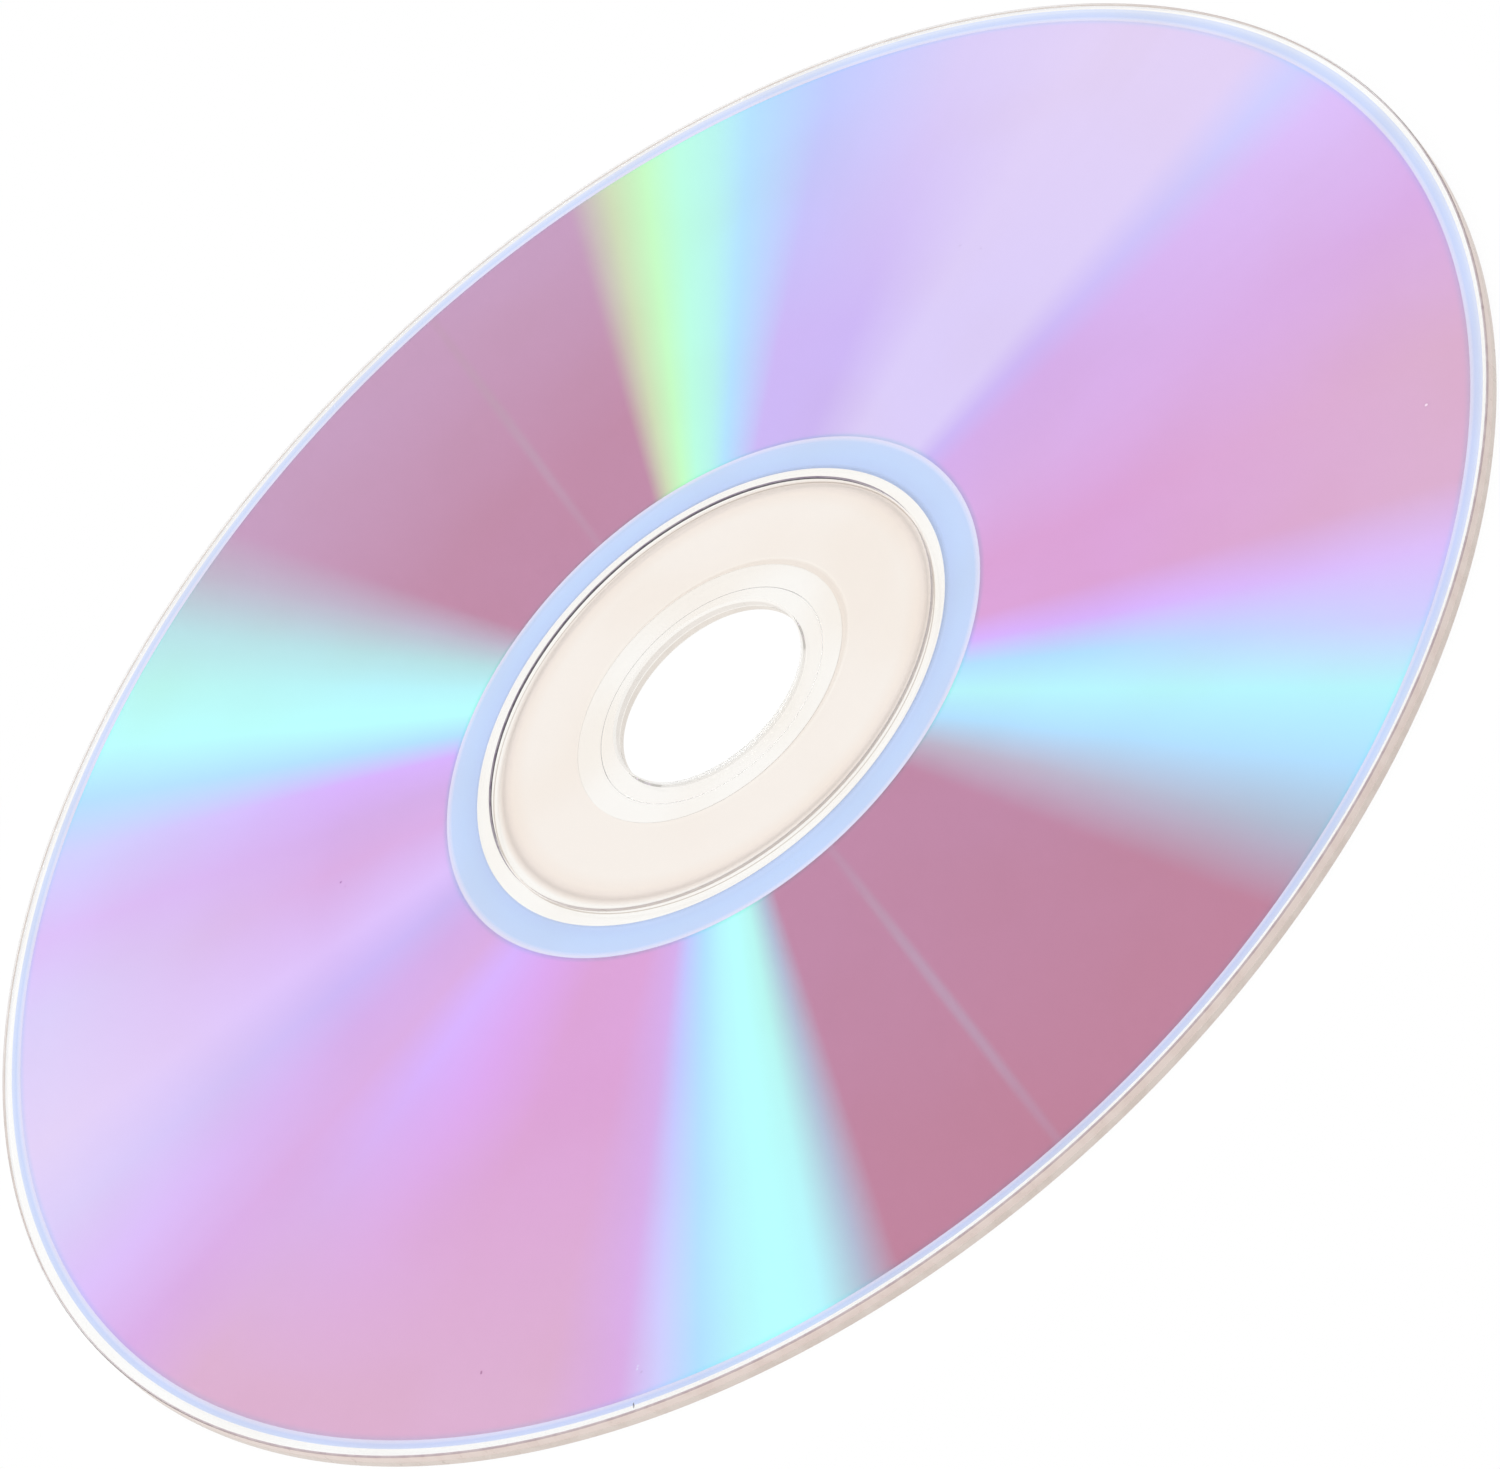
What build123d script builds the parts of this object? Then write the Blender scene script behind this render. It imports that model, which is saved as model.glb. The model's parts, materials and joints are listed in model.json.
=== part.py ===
from build123d import *
import os

# Recordable optical disc, lying with its read side up.
# The origin is on the disc's axis, in the plane that it rests on, and Z points up.
# Lengths are millimetres, and radii are measured from the disc's axis.

# Whole disc
disc_radius = 60.0
hole_radius = 7.5
rim_round = 0.12
hole_chamfer = 0.15

# Clear moulded halves: the label side lies below, the read side above
label_half_thickness = 0.57
read_half_thickness = 0.57

# Films between the halves, thicker than the real ones so that each is a solid
adhesive_thickness = 0.02
metal_thickness = 0.02
dye_thickness = 0.02

# Adhesive: it stops short of the hole and of the rim, which leaves a fine seam there
adhesive_hole_setback = 3.25
adhesive_rim_setback = 0.15

# Metal reflector: a bare ring of it shows inside the dye and outside it
metal_inner_radius = 19.0
metal_rim_margin = 0.65
bare_metal_inside_dye = 2.65
bare_metal_outside_dye = 0.85

# Fine moulded groove round the hole, on the label side's outer face
groove_hole_distance = 1.5
groove_width = 0.12
groove_depth = 0.04

# Ring grooves, one on each outer face, just inside the metal's inner edge
read_ring_metal_distance = 1.05
read_ring_width = 0.16
read_ring_depth = 0.3
label_ring_metal_distance = 1.1
label_ring_width = 0.14
label_ring_depth = 0.06

# Heights of the faces, counted up from the plane that the disc rests on
adhesive_bottom = label_half_thickness
metal_bottom = adhesive_bottom + adhesive_thickness
dye_bottom = metal_bottom + metal_thickness
read_half_bottom = dye_bottom + dye_thickness
disc_top = read_half_bottom + read_half_thickness

# Radii that follow from the margins
adhesive_inner_radius = hole_radius + adhesive_hole_setback
adhesive_outer_radius = disc_radius - adhesive_rim_setback
metal_outer_radius = disc_radius - metal_rim_margin
dye_inner_radius = metal_inner_radius + bare_metal_inside_dye
dye_outer_radius = metal_outer_radius - bare_metal_outside_dye
groove_radius = hole_radius + groove_hole_distance
read_ring_radius = metal_inner_radius - read_ring_metal_distance
label_ring_radius = metal_inner_radius - label_ring_metal_distance


def turned(outline):
    """Solid made by turning a closed outline of (radius, height) points about Z."""
    with BuildPart() as body:
        with BuildSketch(Plane.XZ):
            with BuildLine():
                Polyline(*outline, close=True)
            make_face()
        revolve(axis=Axis.Z)
    return body.part


def circles_at(solid, radius, height):
    """The solid's circular edges of one radius at one height."""
    size = 0.001
    circles = solid.edges().filter_by(GeomType.CIRCLE)
    level = circles.filter_by_position(Axis.Z, height - size, height + size)
    return level.filter_by(lambda edge: abs(edge.radius - radius) < size)


def washer(inner_radius, outer_radius, bottom, top):
    """Flat ring between two radii and two heights."""
    return turned([
        (inner_radius, bottom),
        (outer_radius, bottom),
        (outer_radius, top),
        (inner_radius, top),
    ])


def notch(radius, width, depth, face):
    """Outline points of a V groove at a radius, cut by depth from a face's height, from hub to rim."""
    return [
        (radius - width / 2, face),
        (radius, face + depth),
        (radius + width / 2, face),
    ]


def label_half():
    """Lower clear half: chamfered at the hole, rounded at the rim, with two fine grooves."""
    plate = turned([
        (hole_radius + hole_chamfer, 0),
        *notch(groove_radius, groove_width, groove_depth, 0),
        *notch(label_ring_radius, label_ring_width, label_ring_depth, 0),
        (disc_radius, 0),
        (disc_radius, label_half_thickness),
        (hole_radius, label_half_thickness),
        (hole_radius, hole_chamfer),
    ])
    return fillet(circles_at(plate, disc_radius, 0), rim_round)


def read_half():
    """Upper clear half: chamfered at the hole, rounded at the rim, with its ring groove."""
    plate = turned([
        (hole_radius, read_half_bottom),
        (disc_radius, read_half_bottom),
        (disc_radius, disc_top),
        *reversed(notch(read_ring_radius, read_ring_width, -read_ring_depth, disc_top)),
        (hole_radius + hole_chamfer, disc_top),
        (hole_radius, disc_top - hole_chamfer),
    ])
    return fillet(circles_at(plate, disc_radius, disc_top), rim_round)


def dye_film():
    """Dye, against the read side's clear half."""
    return washer(dye_inner_radius, dye_outer_radius, dye_bottom, read_half_bottom)


def metal_film():
    """Metal reflector under the dye, level with the dye's upper face where it is bare."""
    return turned([
        (metal_inner_radius, metal_bottom),
        (metal_outer_radius, metal_bottom),
        (metal_outer_radius, read_half_bottom),
        (dye_outer_radius, read_half_bottom),
        (dye_outer_radius, dye_bottom),
        (dye_inner_radius, dye_bottom),
        (dye_inner_radius, read_half_bottom),
        (metal_inner_radius, read_half_bottom),
    ])


def adhesive_film():
    """Clear adhesive under the metal, filling up to the read side's half where there is none."""
    return turned([
        (adhesive_inner_radius, adhesive_bottom),
        (adhesive_outer_radius, adhesive_bottom),
        (adhesive_outer_radius, read_half_bottom),
        (metal_outer_radius, read_half_bottom),
        (metal_outer_radius, metal_bottom),
        (metal_inner_radius, metal_bottom),
        (metal_inner_radius, read_half_bottom),
        (adhesive_inner_radius, read_half_bottom),
    ])


pieces = {
    "label_side_half": label_half(),
    "bonding_adhesive": adhesive_film(),
    "metal_reflector": metal_film(),
    "dye_layer": dye_film(),
    "read_side_half": read_half(),
}

os.makedirs("parts", exist_ok=True)
for name, piece in pieces.items():
    export_step(piece, f"parts/{name}.step")
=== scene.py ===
import json
import logging
import math
from collections.abc import Iterable
from dataclasses import dataclass, field
from enum import Enum, IntEnum

import bpy
import numpy as np
from mathutils import Matrix, Vector


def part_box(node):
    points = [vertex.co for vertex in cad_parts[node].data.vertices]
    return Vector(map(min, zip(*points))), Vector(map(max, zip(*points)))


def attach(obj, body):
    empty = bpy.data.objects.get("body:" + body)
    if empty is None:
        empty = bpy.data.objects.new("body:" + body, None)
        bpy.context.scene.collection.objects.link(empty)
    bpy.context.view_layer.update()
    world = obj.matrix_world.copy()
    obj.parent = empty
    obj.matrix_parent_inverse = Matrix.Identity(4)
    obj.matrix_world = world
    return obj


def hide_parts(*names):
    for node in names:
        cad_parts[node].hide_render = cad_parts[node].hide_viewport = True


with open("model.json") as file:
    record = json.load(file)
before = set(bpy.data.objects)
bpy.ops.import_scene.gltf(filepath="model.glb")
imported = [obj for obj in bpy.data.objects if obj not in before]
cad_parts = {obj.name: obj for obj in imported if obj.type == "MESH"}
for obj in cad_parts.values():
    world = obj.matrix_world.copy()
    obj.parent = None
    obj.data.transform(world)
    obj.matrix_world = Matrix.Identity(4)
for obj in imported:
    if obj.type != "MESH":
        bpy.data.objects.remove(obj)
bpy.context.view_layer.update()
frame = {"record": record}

# Recordable optical disc, lying with its read side up, in the fixed frame of its solids.
# Sizes in the classes are millimetres, and meshes are metres.

MM = 0.001
FULL_TURN = 360.0
QUARTERS = 4
LOG = logging.getLogger("disc")

# A hair's clearance between bonded faces, so that no two surfaces lie exactly on each other
HAIR = 0.002

# Angle in degrees from which an edge is drawn sharp: more than the steps of a round corner, less than
# the slope of a fine groove's walls
SHARP_FROM = 18.0

# The part of a noise's range that holds most of its values
NOISE_BAND = (0.3, 0.7)


def linear(hex_colour: str) -> tuple[float, float, float, float]:
    """Turns an sRGB hex colour into Blender's linear red, green, blue and alpha.

    Args:
        hex_colour: Six hex digits, such as "c08aa8".

    Returns:
        The linear colour with full alpha.
    """
    channels = [int(hex_colour[i:i + 2], 16) / 255 for i in (0, 2, 4)]
    lifted = [c / 12.92 if c <= 0.04045 else ((c + 0.055) / 1.055) ** 2.4 for c in channels]
    return (lifted[0], lifted[1], lifted[2], 1.0)


def add_node(
    tree: bpy.types.NodeTree,
    kind: str,
    feeds: dict | None = None,
    **settings: object,
) -> bpy.types.Node:
    """Adds a node, sets its properties, and fills or links its inputs.

    Args:
        tree: The node tree that the node joins.
        kind: The node's type name.
        feeds: Input name or number to a plain value, or to the output socket that feeds it.
        **settings: Properties of the node itself, such as operation.

    Returns:
        The new node.
    """
    node = tree.nodes.new(kind)
    for key, value in settings.items():
        setattr(node, key, value)
    for key, value in (feeds or {}).items():
        if isinstance(value, bpy.types.NodeSocket):
            tree.links.new(value, node.inputs[key])
        else:
            node.inputs[key].default_value = value
    return node


def new_material(name: str) -> tuple[bpy.types.Material, bpy.types.NodeTree, bpy.types.Node]:
    """Makes an empty node material.

    Args:
        name: The finish's name.

    Returns:
        The material, its node tree and its output node.
    """
    material = bpy.data.materials.new(name)
    material.use_nodes = True
    tree = material.node_tree
    tree.nodes.clear()
    return material, tree, add_node(tree, "ShaderNodeOutputMaterial")


def radius_and_turn(tree: bpy.types.NodeTree) -> tuple[bpy.types.NodeSocket, bpy.types.NodeSocket]:
    """Distance from the disc's axis in metres, and azimuth as a share of a full turn from +X.

    The turn is arctan2 of (-y, -x), divided by a full turn, plus a half.

    Args:
        tree: The material's node tree.

    Returns:
        The radius socket and the turn socket.
    """
    place = add_node(tree, "ShaderNodeTexCoord")
    flat = add_node(
        tree,
        "ShaderNodeVectorMath",
        {0: place.outputs["Object"], 1: (-1.0, -1.0, 0.0)},
        operation="MULTIPLY",
    )
    radius = add_node(tree, "ShaderNodeVectorMath", {0: flat.outputs[0]}, operation="LENGTH")
    parts = add_node(tree, "ShaderNodeSeparateXYZ", {0: flat.outputs[0]})
    angle = add_node(
        tree,
        "ShaderNodeMath",
        {0: parts.outputs["Y"], 1: parts.outputs["X"]},
        operation="ARCTAN2",
    )
    turn = add_node(
        tree,
        "ShaderNodeMath",
        {0: angle.outputs[0], 1: 1 / math.tau, 2: 0.5},
        operation="MULTIPLY_ADD",
    )
    return radius.outputs["Value"], turn.outputs[0]


def colour_ramp(
    tree: bpy.types.NodeTree,
    factor: bpy.types.NodeSocket,
    stops: Iterable[tuple[float, str]],
) -> bpy.types.NodeSocket:
    """Runs a factor from 0 to 1 through colour stops.

    Args:
        tree: The material's node tree.
        factor: The socket that drives the ramp.
        stops: Position and sRGB hex colour of each stop, in order.

    Returns:
        The ramp's colour socket.
    """
    ramp = add_node(tree, "ShaderNodeValToRGB", {0: factor})
    elements = ramp.color_ramp.elements
    ordered = list(stops)
    elements[0].position, elements[0].color = ordered[0][0], linear(ordered[0][1])
    elements[1].position, elements[1].color = ordered[-1][0], linear(ordered[-1][1])
    for position, colour in ordered[1:-1]:
        element = elements.new(position)
        element.color = linear(colour)
    return ramp.outputs["Color"]


def share_between(
    tree: bpy.types.NodeTree,
    value: bpy.types.NodeSocket,
    start: float,
    end: float,
    low: float = 0.0,
    high: float = 1.0,
) -> bpy.types.NodeSocket:
    """Smooth step of a value from low at start to high at end.

    Args:
        tree: The material's node tree.
        value: The value that is mapped.
        start: Where the step begins.
        end: Where the step ends.
        low: Result up to the start.
        high: Result from the end.

    Returns:
        The mapped socket.
    """
    step = add_node(
        tree,
        "ShaderNodeMapRange",
        {"Value": value, "From Min": start, "From Max": end, "To Min": low, "To Max": high},
        interpolation_type="SMOOTHSTEP",
    )
    return step.outputs["Result"]


def mix_colours(
    tree: bpy.types.NodeTree,
    share: bpy.types.NodeSocket | float,
    first: bpy.types.NodeSocket | tuple,
    second: bpy.types.NodeSocket | tuple,
    blend: str = "MIX",
) -> bpy.types.NodeSocket:
    """Mixes two colours by a share.

    Args:
        tree: The material's node tree.
        share: How much of the second colour is taken.
        first: The colour at share 0.
        second: The colour at share 1.
        blend: Blender's name for how they are mixed.

    Returns:
        The mixed colour socket.
    """
    mixer = add_node(
        tree,
        "ShaderNodeMix",
        {"Factor": share, 6: first, 7: second},
        data_type="RGBA",
        blend_type=blend,
    )
    return mixer.outputs[2]


@dataclass(frozen=True)
class Spot:
    """Oval mark in a film, small or long and thin: sizes are millimetres, and the heading is in degrees."""

    x: float
    y: float
    length: float
    width: float
    heading: float
    colour: str
    share: float = 1.0
    core: float = 0.5

    def cover(self, tree: bpy.types.NodeTree) -> bpy.types.NodeSocket:
        """Share of the mark at each place: whole in its core, fading out to its edge.

        Args:
            tree: The material's node tree.

        Returns:
            The socket with the share.
        """
        place = add_node(tree, "ShaderNodeTexCoord")
        local = add_node(
            tree,
            "ShaderNodeMapping",
            {
                "Vector": place.outputs["Object"],
                "Location": (self.x * MM, self.y * MM, 0.0),
                "Rotation": (0.0, 0.0, math.radians(self.heading)),
                "Scale": (self.length / 2 * MM, self.width / 2 * MM, 1.0),
            },
            vector_type="TEXTURE",
        )
        away = add_node(tree, "ShaderNodeVectorMath", {0: local.outputs[0]}, operation="LENGTH")
        return share_between(tree, away.outputs["Value"], self.core, 1.0, self.share, 0.0)


@dataclass(frozen=True)
class MouldedPolycarbonate:
    """Injection-moulded optical polycarbonate: water-clear, with faint, soft flow marks in its tint."""

    name: str
    tint: str = "fefefe"
    flow_tint: str = "fcfaf7"
    flow_size: float = 9.0
    flow_band: tuple[float, float] = (0.4, 0.75)
    index: float = 1.58

    def build(self) -> bpy.types.Material:
        """Refracting clear plastic."""
        material, tree, output = new_material(self.name)
        place = add_node(tree, "ShaderNodeTexCoord")
        flow = add_node(
            tree,
            "ShaderNodeTexNoise",
            {"Vector": place.outputs["Object"], "Scale": 1 / (self.flow_size * MM), "Detail": 0.0},
        )
        share = share_between(tree, flow.outputs[0], *self.flow_band)
        tint = mix_colours(tree, share, linear(self.tint), linear(self.flow_tint))
        plastic = add_node(
            tree,
            "ShaderNodeBsdfPrincipled",
            {"Base Color": tint, "Roughness": 0.0, "IOR": self.index, "Transmission Weight": 1.0},
        )
        tree.links.new(plastic.outputs[0], output.inputs["Surface"])
        return material


@dataclass(frozen=True)
class BondedFace:
    """Face wetted by cured adhesive of the plastic's own index, so that the eye sees no surface there."""

    name: str
    tint: str = "ffffff"

    def build(self) -> bpy.types.Material:
        """Clear face that neither bends nor mirrors light."""
        material, tree, output = new_material(self.name)
        bond = add_node(
            tree,
            "ShaderNodeBsdfPrincipled",
            {
                "Base Color": linear(self.tint),
                "Roughness": 0.0,
                "IOR": 1.0,
                "Transmission Weight": 1.0,
            },
        )
        tree.links.new(bond.outputs[0], output.inputs["Surface"])
        return material


@dataclass(frozen=True)
class WettedFace:
    """Face wetted by the dye or the metal that covers it: nothing of it shows, and light just passes."""

    name: str

    def build(self) -> bpy.types.Material:
        """Clear face."""
        material, tree, output = new_material(self.name)
        through = add_node(tree, "ShaderNodeBsdfTransparent", {"Color": linear("ffffff")})
        tree.links.new(through.outputs[0], output.inputs["Surface"])
        return material


@dataclass(frozen=True)
class CuredAdhesive:
    """Spun and cured clear adhesive: warm in the hub, with a soft brownish ring of painted shadow from the
    ring groove before the metal.
    """

    name: str = "spun_clear_adhesive"
    centre: tuple[float, float] = (0.35, 0.0)
    stops: tuple[tuple[float, str], ...] = (
        (10.75, "f3ebe4"),
        (10.86, "f7f0ea"),
        (11.0, "fcf7f2"),
        (11.15, "faf4ef"),
        (15.4, "faf4ef"),
        # Painted shadow of the ring groove: a soft brownish dip in the tint, up to 17.8 mm.
        (16.5, "f8efe8"),
        (16.9, "f1e7e1"),
        (17.1, "e6dcd6"),
        (17.25, "dfd5cf"),
        (17.4, "ebe2dc"),
        (17.6, "f8f2ed"),
        (17.8, "fefdfb"),
        (19.5, "fefefd"),
    )
    # A chip in the rim, drawn as painted shade in the adhesive.
    nick_shade: Spot = Spot(-33.69, -48.69, 0.56, 0.14, 61.3, "a0a0ae")

    def build(self) -> bpy.types.Material:
        """Clear face whose tint and painted shadow follow the distance from the shadow's own centre."""
        material, tree, output = new_material(self.name)
        place = add_node(tree, "ShaderNodeTexCoord")
        shifted = add_node(
            tree,
            "ShaderNodeVectorMath",
            {0: place.outputs["Object"], 1: (self.centre[0] * MM, self.centre[1] * MM, 0.0)},
            operation="SUBTRACT",
        )
        flat = add_node(
            tree,
            "ShaderNodeVectorMath",
            {0: shifted.outputs[0], 1: (1.0, 1.0, 0.0)},
            operation="MULTIPLY",
        )
        radius = add_node(tree, "ShaderNodeVectorMath", {0: flat.outputs[0]}, operation="LENGTH")
        first, last = self.stops[0][0], self.stops[-1][0]
        across = add_node(
            tree,
            "ShaderNodeMapRange",
            {"Value": radius.outputs["Value"], "From Min": first * MM, "From Max": last * MM},
        )
        tint_and_shadow = colour_ramp(
            tree,
            across.outputs["Result"],
            [((r - first) / (last - first), tone) for r, tone in self.stops],
        )
        tint_and_shadow = mix_colours(tree, self.nick_shade.cover(tree), tint_and_shadow, linear(self.nick_shade.colour))
        bond = add_node(
            tree,
            "ShaderNodeBsdfPrincipled",
            {"Base Color": tint_and_shadow, "Roughness": 0.0, "IOR": 1.0, "Transmission Weight": 1.0},
        )
        tree.links.new(bond.outputs[0], output.inputs["Surface"])
        return material


@dataclass(frozen=True)
class MouldedWall:
    """Steep wall as it leaves the mould: satin from outside, and clear or hazy for light inside the plastic.
    Dark satin and haze tones on a wall are painted shade.

    Seen at a grazing angle from outside, only the grazing share of the satin is left.
    """

    name: str
    satin_and_shade: str
    satin_share: float = 1.0
    haze_and_shade: str = "fdfbf8"
    haze_share: float = 0.0
    clear: str = "fefefe"
    index: float = 1.58
    mark_size: float = 1.1
    mark_colour: str = "fbf4ee"
    mark_share: float = 0.15
    mark_band: tuple[float, float] = (0.35, 0.65)
    roughness: tuple[float, float] = (0.26, 0.4)
    grazing: float = 1.0
    grazing_band: tuple[float, float] = (0.35, 0.7)

    def build(self) -> bpy.types.Material:
        """Scattering skin on clear plastic, with a share of each for either side."""
        material, tree, output = new_material(self.name)
        place = add_node(tree, "ShaderNodeTexCoord")
        draw_marks = add_node(
            tree,
            "ShaderNodeTexNoise",
            {"Vector": place.outputs["Object"], "Scale": 1 / (self.mark_size * MM), "Detail": 2.0},
        )
        skin_colour = mix_colours(
            tree,
            share_between(tree, draw_marks.outputs[0], *self.mark_band, 0.0, self.mark_share),
            linear(self.satin_and_shade),
            linear(self.mark_colour),
        )
        rough = share_between(tree, draw_marks.outputs[0], *NOISE_BAND, *self.roughness)
        skin = add_node(
            tree,
            "ShaderNodeBsdfPrincipled",
            {"Base Color": skin_colour, "Roughness": rough, "IOR": self.index},
        )
        clear = add_node(
            tree,
            "ShaderNodeBsdfPrincipled",
            {
                "Base Color": linear(self.clear),
                "Roughness": 0.0,
                "IOR": self.index,
                "Transmission Weight": 1.0,
            },
        )
        haze_and_shade = add_node(tree, "ShaderNodeBsdfTranslucent", {"Color": linear(self.haze_and_shade)})
        tilt = add_node(tree, "ShaderNodeLayerWeight", {"Blend": 0.5})
        covered = share_between(
            tree,
            tilt.outputs["Facing"],
            *self.grazing_band,
            self.satin_share,
            self.satin_share * self.grazing,
        )
        outside = add_node(tree, "ShaderNodeMixShader", {0: covered, 1: clear.outputs[0], 2: skin.outputs[0]})
        inside = add_node(
            tree,
            "ShaderNodeMixShader",
            {0: self.haze_share, 1: clear.outputs[0], 2: haze_and_shade.outputs[0]},
        )
        side = add_node(tree, "ShaderNodeNewGeometry")
        body = add_node(
            tree,
            "ShaderNodeMixShader",
            {0: side.outputs["Backfacing"], 1: outside.outputs[0], 2: inside.outputs[0]},
        )
        tree.links.new(body.outputs[0], output.inputs["Surface"])
        return material


class Tone(Enum):
    """Colours of the dye: its own rose, wine and mauve, and the painted diffraction glints that its groove
    splits from the light, named as a painter would.
    """

    ROSE = "b57399"
    WINE = "b66f8f"
    MAUVE = "ba87b3"
    SLATE = "b3aac3"
    STEEL = "a6b3cd"
    PINK = "d5a4c9"
    FUCHSIA = "d595d2"
    MAGENTA = "d69bea"
    ORCHID = "d3a1e1"
    THISTLE = "cea1e6"
    VIOLET = "d1a7fb"
    WISTERIA = "c4abf1"
    LILAC = "d6b6f7"
    LAVENDER = "d4c5f5"
    PALE = "dccaf3"
    MIST = "c8c8fc"
    SKY = "b6c2fe"
    AZURE = "a7dbfe"
    TEAL = "abdbe2"
    AQUA = "adf2fa"
    ICE = "affdfc"
    SEAFOAM = "acf1eb"
    MINT = "affbdf"
    LIME = "bcfabd"
    OLIVE = "c6d7ad"


@dataclass(frozen=True)
class GlintField:
    """Field of colour on the dye between two azimuths, with its tones in even steps from start to end:
    painted diffraction glints, and in the rose fields the dye's own colour.

    The hub's tones and the rim's run side by side, and the dye fades from one to the other along the radius.
    """

    start: float
    end: float
    hub: str
    rim: str

    def stops(self, edge: str) -> list[tuple[float, str]]:
        """Lists the field's colour stops.

        Args:
            edge: Which edge of the dye, "hub" or "rim".

        Returns:
            Azimuths in degrees, each with its colour as sRGB hex.
        """
        tones = getattr(self, edge).upper().split()
        places = np.linspace(self.start, self.end, len(tones))
        return [(float(azimuth), Tone[tone].value) for azimuth, tone in zip(places, tones)]


# Painted diffraction glints: rainbow streaks fixed on the dye by azimuth, between rose fields of the dye's
# own colour.
# The gaps between the fields blend. A field has a tone where a quarter turn ends: at 0, 90, 180, 270
# and 360 degrees.
GLINT_FIELDS = (
    # East to north: painted pale lilac glints, the painted green streak and the start of a rose field
    GlintField(0, 10, "thistle wisteria lavender", "lilac mist pale"),
    GlintField(26, 50, "lavender wisteria wisteria", "pale lavender sky"),
    GlintField(57, 69.5, "azure seafoam mint lime olive", "azure seafoam mint lime olive"),
    GlintField(73, 107, "rose rose rose", "mauve mauve mauve"),
    # North to west: the painted ice streak and painted pale lilac glints
    GlintField(111, 131, "slate teal aqua ice azure", "slate teal seafoam ice azure"),
    GlintField(136, 151, "violet thistle orchid", "mist lilac lavender"),
    GlintField(164, 196, "lilac wisteria thistle orchid violet", "pale lavender lilac orchid pink"),
    # West to south: painted pink glints, the narrow painted streak and the start of a rose field
    GlintField(206, 228, "magenta fuchsia fuchsia", "pink pink pink"),
    GlintField(
        234, 252, "thistle sky azure aqua ice seafoam steel", "orchid mist azure aqua ice aqua steel"
    ),
    GlintField(254.5, 285.5, "rose rose rose", "wine wine wine"),
    # South to east: the painted blue streak and painted pink glints
    GlintField(291, 318, "slate azure aqua azure violet fuchsia", "steel azure aqua mist lilac pink"),
    GlintField(330, 360, "fuchsia orchid thistle", "pink orchid lilac"),
)


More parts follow.
